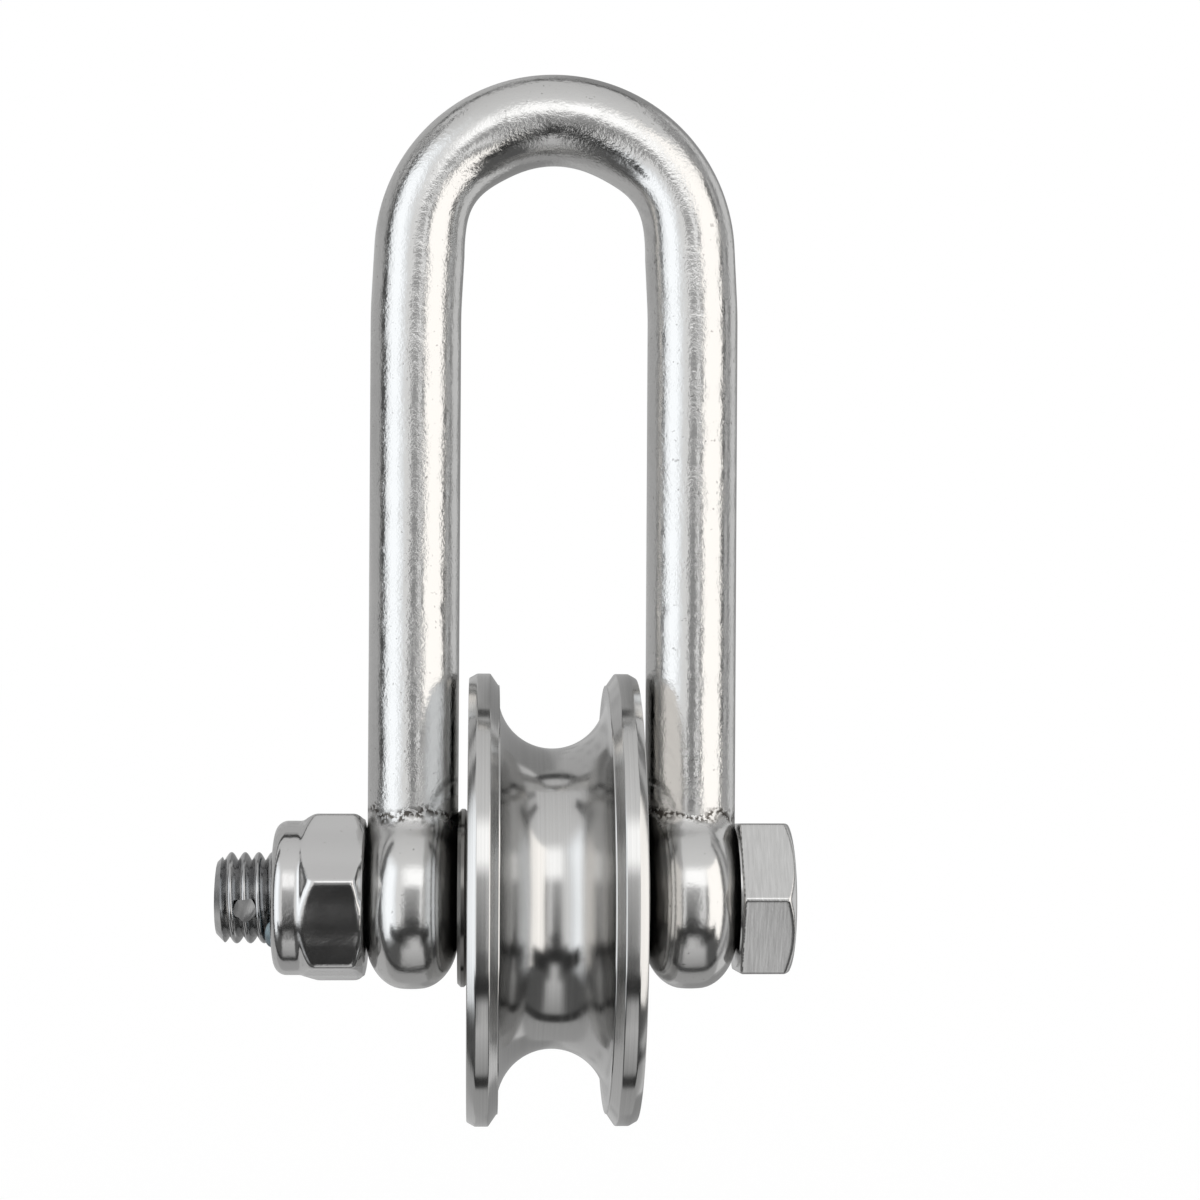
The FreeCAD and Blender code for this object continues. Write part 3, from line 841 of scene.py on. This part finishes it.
# %% Bolt material
bolt_finish, tree, surface = new_material("ground_bolt_steel")
lines = use_group(tree, lines_group, {"Along X": 4200.0, "Along Y": 260.0, "Along Z": 260.0})["Lines"]
pits = use_group(tree, pits_group)
ground_tone = mix_colours(tree, remap(tree, lines, 0.35, 0.65, 0.0, 1.0),
                          (0.53, 0.528, 0.522), (0.64, 0.637, 0.632))
on_thread = remap(tree, place_along(tree, "X"), THREAD_END_X + 1 * MM, THREAD_END_X, 0.0, 1.0)
scuffed = calculate(tree, "MULTIPLY", on_thread, remap(tree, pits["Waves"], 0.4, 0.6, 0.9, 0.1))
tone = mix_colours(tree, scuffed, ground_tone, (0.375, 0.378, 0.382))
lined = relief(tree, lines, 0.006 * MM)
add_steel(tree, surface, tone, remap(tree, lines, 0.3, 0.7, 0.2, 0.13),
          relief(tree, pits["Grain"], 0.008 * MM, lined))
bolt_piece.data.materials.append(bolt_finish)
print("finish", bolt_finish.name)

# %% Nut material
nut_finish, tree, surface = new_material("polished_nut_steel")
pits = use_group(tree, pits_group)
tone = mix_colours(tree, pits["Pits"], (0.585, 0.581, 0.577), (0.515, 0.507, 0.5))
waved = relief(tree, pits["Waves"], 0.08 * MM)
add_steel(tree, surface, tone, remap(tree, pits["Waves"], 0.3, 0.7, 0.1, 0.18),
          relief(tree, pits["Grain"], 0.012 * MM, waved))
nut_piece.data.materials.append(nut_finish)
print("finish", nut_finish.name)

# %% [markdown]
# ### Finish of the nylon, washers and bearings
# Nylon lets a little light in and scatters it, which the subsurface weight gives, and slow noise makes it
# much darker in patches. The bearing's rings are turned steel, and so are the washers, whose colour is
# painted dark as painted shade between the eyes and the wheel. The balls are mirror bright, and the
# shields and cages are pressed sheet. They are plain enough to keep their CAD meshes, and only get a
# material.

# %% Nylon material
nylon_finish, tree, surface = new_material("pale_nylon")
pits = use_group(tree, pits_group, {"Pit Scale": 1500.0})
# Slow noise makes the nylon much darker in patches.
paler_in_patches = remap(tree, pits["Waves"], 0.38, 0.62, 0.0, 1.0)
plastic = add_node(tree, "ShaderNodeBsdfPrincipled", {
    "Base Color": mix_colours(tree, paler_in_patches, (0.04, 0.06, 0.075), (0.32, 0.41, 0.45)),
    "Roughness": remap(tree, pits["Waves"], 0.3, 0.7, 0.3, 0.5),
    "Subsurface Weight": 0.3, "Subsurface Radius": (0.8, 1.0, 1.1), "Subsurface Scale": 0.6 * MM,
    "Normal": relief(tree, pits["Pits"], 0.02 * MM, strength=0.6)})
tree.links.new(plastic.outputs["BSDF"], surface.inputs["Surface"])
nylon_piece.data.materials.append(nylon_finish)
print("finish", nylon_finish.name)

# %% Finishes of the carried-over nodes
# The washers' colour is painted a third as bright as the other steel, as painted shade between the eyes
# and the wheel.
washer_painted_shade_finish = turned_steel("washer_steel_painted_shade", (0.2, 0.196, 0.188), 0.12, 0.2, 0.004 * MM, 4200.0, 0.3)
ring_finish = turned_steel("bearing_ring_steel", (0.58, 0.58, 0.575), 0.1, 0.2, 0.001 * MM, 7000.0, 0.3)
shield_finish = turned_steel("pressed_shield_steel", (0.52, 0.515, 0.5), 0.24, 0.36, 0.002 * MM,
                             3000.0, 0.2)
cage_finish = turned_steel("pressed_cage_steel", (0.47, 0.455, 0.42), 0.26, 0.4, 0.002 * MM, 2500.0, 0.2)
ball_finish = turned_steel("ball_steel", (0.62, 0.62, 0.62), 0.04, 0.08, 0.0002 * MM, 900.0, 0.0)
finish_of = {"washer": washer_painted_shade_finish, "outer_ring": ring_finish, "inner_ring": ring_finish,
             "spacer": ring_finish, "shield": shield_finish, "cage": cage_finish, "balls": ball_finish}
for node_name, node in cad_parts.items():
    for word, finish in finish_of.items():
        if word in node_name:
            node.data.materials.clear()
            node.data.materials.append(finish)
print("finishes assigned to the carried-over nodes")

# %% [markdown]
# ## Studio
# Bright metal shows its surroundings, so the studio is what gives it its look: a large soft box on
# each side of the camera, cool on the left and warm on the right, with the camera's own grey gap
# between them, a paler ceiling with a bright strip where it meets the boxes, a dark table edge
# below the camera, and a grey wall behind. An image of a real studio would give such reflections
# too, but here each light is a panel of one big round tent that only reflections see, so each can
# be moved by itself. As steel gives back only part of the light, one shared level makes all panels
# brighter. Paper and plastic are lit by the plain white world, whose light has no direction, so the
# shadow on the floor is soft.

# %% Sheets of the tent
TENT_MIDDLE = Vector((0, 0, -0.05))
TENT_REACH = 1.6
REACH_STEP = 0.01
STUDIO_LEVEL = 1.28
panels = []


def panel_sheet(name, across_range, up_range, over, reach):
    """A curved sheet of the tent, with how far a point is across and up it as its UV map."""
    bm = bmesh.new()
    bm.loops.layers.uv.new("across_and_up")
    bmesh.ops.create_grid(bm, x_segments=32, y_segments=16, size=0.5, calc_uvs=True)
    for vert in bm.verts:
        a = math.radians(across_range[0] + (vert.co.x + 0.5) * (across_range[1] - across_range[0]))
        b = math.radians(up_range[0] + (vert.co.y + 0.5) * (up_range[1] - up_range[0]))
        if over:
            way = Vector((math.sin(a), -math.cos(a) * math.cos(b), math.cos(a) * math.sin(b)))
        else:
            way = Vector((math.sin(a) * math.cos(b), -math.cos(a) * math.cos(b), math.sin(b)))
        vert.co = TENT_MIDDLE + way * reach
    mesh = bpy.data.meshes.new(name)
    bm.to_mesh(mesh)
    bm.free()
    return mesh


def panel_glow(name, strengths, colour, along, feather_shares):
    """A glow from the first strength to the second, fading out over a share of each width."""
    glow, tree, surface = new_material(name)
    uv = add_node(tree, "ShaderNodeTexCoord").outputs["UV"]
    spot = add_node(tree, "ShaderNodeSeparateXYZ", {"Vector": uv}).outputs
    first, second = (strength * STUDIO_LEVEL for strength in strengths)
    level = remap(tree, spot["X" if along == "across" else "Y"], 0, 1, first, second)
    shown = add_node(tree, "ShaderNodeEmission", {"Color": (*colour, 1), "Strength": level}).outputs[0]
    if any(feather_shares):
        inside = []
        for axis, share in zip("XY", feather_shares):
            from_middle = calculate(tree, "SUBTRACT", spot[axis], 0.5)
            off_centre = calculate(tree, "ABSOLUTE", from_middle, 0.0)
            inside.append(remap(tree, off_centre, 0.5, 0.5 - share, 0.0, 1.0))
        clear = add_node(tree, "ShaderNodeBsdfTransparent")
        shown = add_node(tree, "ShaderNodeMixShader", {
            "Fac": calculate(tree, "MULTIPLY", *inside), 1: clear.outputs[0], 2: shown}).outputs[0]
    tree.links.new(shown, surface.inputs["Surface"])
    return glow


def card(name, strengths, colour, across_range, up_range, over=False, along="across", feather=2.0,
         reach=None):
    """One glowing panel of the tent, seen only in reflections. Its ranges are degrees from the
    camera's side: about Z and up from the horizon, or with over, sideways and up over the top. Its
    light runs from the first strength to the second across or up, and its borders fade out over
    the feather, in degrees. Each new panel is a little nearer, unless its reach is given."""
    feather_shares = [feather / (high - low) for low, high in (across_range, up_range)]
    mesh = panel_sheet(name, across_range, up_range, over, reach or TENT_REACH - REACH_STEP * len(panels))
    mesh.materials.append(panel_glow(name, strengths, colour, along, feather_shares))
    panel = bpy.data.objects.new(name, mesh)
    bpy.context.scene.collection.objects.link(panel)
    panel.visible_camera = False
    panel.visible_diffuse = False
    panel.visible_shadow = False
    panels.append(panel)


print("helpers for the tent ready")

# %% [markdown]
# ### Panels of the tent
# In a real studio these are soft boxes, sheets of card and the gaps between them. The wide walls
# come first, and each later panel lies in front of them. Where the photograph shows a thin dark
# line along a highlight, a narrow dark gap beside a box makes it.

# %% Walls, ceiling and table
NEUTRAL = (1.0, 1.0, 1.0)
COOL = (0.97, 1.0, 1.03)
WARM = (1.03, 1.0, 0.965)
card("tent_wall", (0.36, 0.36), NEUTRAL, (-180, 180), (-90, 90), feather=0)
card("left_wall", (0.46, 0.46), NEUTRAL, (-178, -99), (-50, 60), feather=3)
card("right_wall", (0.63, 0.63), NEUTRAL, (107, 141), (-50, 60), feather=3)
card("right_shade", (0.27, 0.27), NEUTRAL, (138, 178), (-50, 60), feather=3)
card("ceiling", (0.8, 0.56), NEUTRAL, (-75, 75), (20, 110), over=True, along="up", feather=1.5)
card("ceiling_gap", (0.05, 0.05), NEUTRAL, (-85, 85), (109, 117), over=True, feather=1)
card("table", (0.1, 0.1), NEUTRAL, (-75, 75), (-102, -31), over=True, feather=3)
card("table_light", (0.3, 0.62), NEUTRAL, (-13, 19), (-95, -56), over=True, along="up", feather=6)
card("table_gap", (0.03, 0.03), NEUTRAL, (-60, 60), (-102, -91), over=True, feather=2)
print("walls, ceiling and table:", len(panels), "panels")

# %% Boxes, gaps and the near edge
card("left_box", (0.92, 0.86), COOL, (-81, -25), (-38, 42))
card("left_glow", (1.28, 1.28), COOL, (-80, -26), (-48, 50), feather=18)
card("left_shade", (0.82, 0.82), NEUTRAL, (-29, -8), (-38, 40))
card("right_box", (1.28, 1.28), WARM, (23, 79), (-38, 42))
card("right_line", (0.95, 0.95), NEUTRAL, (7, 18), (-38, 40))
card("thin_gap", (0.22, 0.22), NEUTRAL, (16, 25), (-30, 22))
card("camera_gap", (0.01, 0.5), NEUTRAL, (-12, 11), (-35, 27), along="up", feather=4)
card("left_gap", (0.07, 0.07), NEUTRAL, (-96, -79), (-50, 60))
card("right_gap", (0.12, 0.12), NEUTRAL, (76, 90), (-50, 60))
card("right_strip", (0.52, 0.52), NEUTRAL, (87, 101), (-50, 60))
card("far_right_gap", (0.22, 0.22), NEUTRAL, (98, 109), (-50, 60))
card("table_edge", (0.035, 0.035), NEUTRAL, (-46, 46), (-55, -34), over=True, feather=5)
card("table_rise", (0.035, 0.035), NEUTRAL, (-24, 26), (-44, -28), over=True, feather=6)
card("table_tip", (0.6, 0.6), NEUTRAL, (-7, 13), (-66, -42), over=True, feather=6)
card("stand", (0.05, 0.05), NEUTRAL, (-14, 16), (-33, -19), feather=6)
card("upper_bridge", (1.32, 1.32), NEUTRAL, (-16, 25), (12.5, 46), over=True, feather=9, reach=0.5)
print("tent panels", len(panels))

# %% [markdown]
# ### Floor and backdrop
# A round sheet of pale paper lies below the object and takes its shadow. It is lifted a little for
# the camera alone, so that it meets the white of the world with no line, and no more light falls on
# the object.

# %% Floor and backdrop
FLOOR_Z = -0.16
FLOOR_R = 3.0
FLOOR_LIFT = 0.1
floor_mesh = bpy.data.meshes.new("studio_floor")
bm = bmesh.new()
bmesh.ops.create_circle(bm, cap_ends=True, segments=96, radius=FLOOR_R,
                        matrix=Matrix.Translation((0, 0, FLOOR_Z)))
bm.to_mesh(floor_mesh)
bm.free()
floor = bpy.data.objects.new("studio_floor", floor_mesh)
bpy.context.scene.collection.objects.link(floor)
paper, tree, surface = new_material("pale_floor")
matt = add_node(tree, "ShaderNodeBsdfDiffuse", {"Color": (0.9, 0.9, 0.9, 1)})
seen = add_node(tree, "ShaderNodeLightPath").outputs["Is Camera Ray"]
lift = add_node(tree, "ShaderNodeEmission", {
    "Color": (1, 1, 1, 1), "Strength": calculate(tree, "MULTIPLY", seen, FLOOR_LIFT)})
both = add_node(tree, "ShaderNodeAddShader", {0: matt.outputs[0], 1: lift.outputs[0]})
tree.links.new(both.outputs[0], surface.inputs["Surface"])
floor_mesh.materials.append(paper)
floor.visible_glossy = False

world = bpy.data.worlds.new("studio_world")
world.use_nodes = True
world.node_tree.nodes.clear()
bpy.context.scene.world = world
backdrop = add_node(world.node_tree, "ShaderNodeBackground", {"Color": (1, 1, 1, 1), "Strength": 1.0})
add_node(world.node_tree, "ShaderNodeOutputWorld", {"Surface": backdrop.outputs[0]})
print("floor at", FLOOR_Z, "m")

# %% [markdown]
# ## Camera
# The photograph was taken from the front with a long lens, a little left of the middle and level
# with the middle of the bow. The camera is placed by its own point and three small turns, worked out
# from where the bow, the wheel and the bolt's ends lie in the photograph. Its matrix is set at once,
# so that no Euler order has to be thought of.

# %% Camera
EYE_POINT = Vector((-7.77, -266.3, -48.92)) * MM
YAW = math.radians(2.791)
PITCH_UP = math.radians(0.161)
ROLL = math.radians(0.322)
forward = Vector((math.sin(YAW) * math.cos(PITCH_UP), math.cos(YAW) * math.cos(PITCH_UP),
                  math.sin(PITCH_UP)))
level_right = forward.cross(Vector((0, 0, 1))).normalized()
level_up = level_right.cross(forward)
right = level_right * math.cos(ROLL) + level_up * math.sin(ROLL)
up = level_up * math.cos(ROLL) - level_right * math.sin(ROLL)
SENSOR_WIDTH = 36.0
FRAME_PIXELS = 1200
FOCAL_PIXELS = 2400.6
lens = bpy.data.cameras.new("camera")
lens.sensor_width = SENSOR_WIDTH
lens.lens = SENSOR_WIDTH * FOCAL_PIXELS / FRAME_PIXELS
lens.clip_start = 0.01
lens.clip_end = 20.0
camera = bpy.data.objects.new("camera", lens)
camera.matrix_world = Matrix((
    (right.x, up.x, -forward.x, EYE_POINT.x),
    (right.y, up.y, -forward.y, EYE_POINT.y),
    (right.z, up.z, -forward.z, EYE_POINT.z),
    (0, 0, 0, 1),
))
bpy.context.scene.collection.objects.link(camera)
bpy.context.scene.camera = camera
bpy.context.scene.view_settings.view_transform = "Standard"
print("lens", round(lens.lens, 2), "mm")
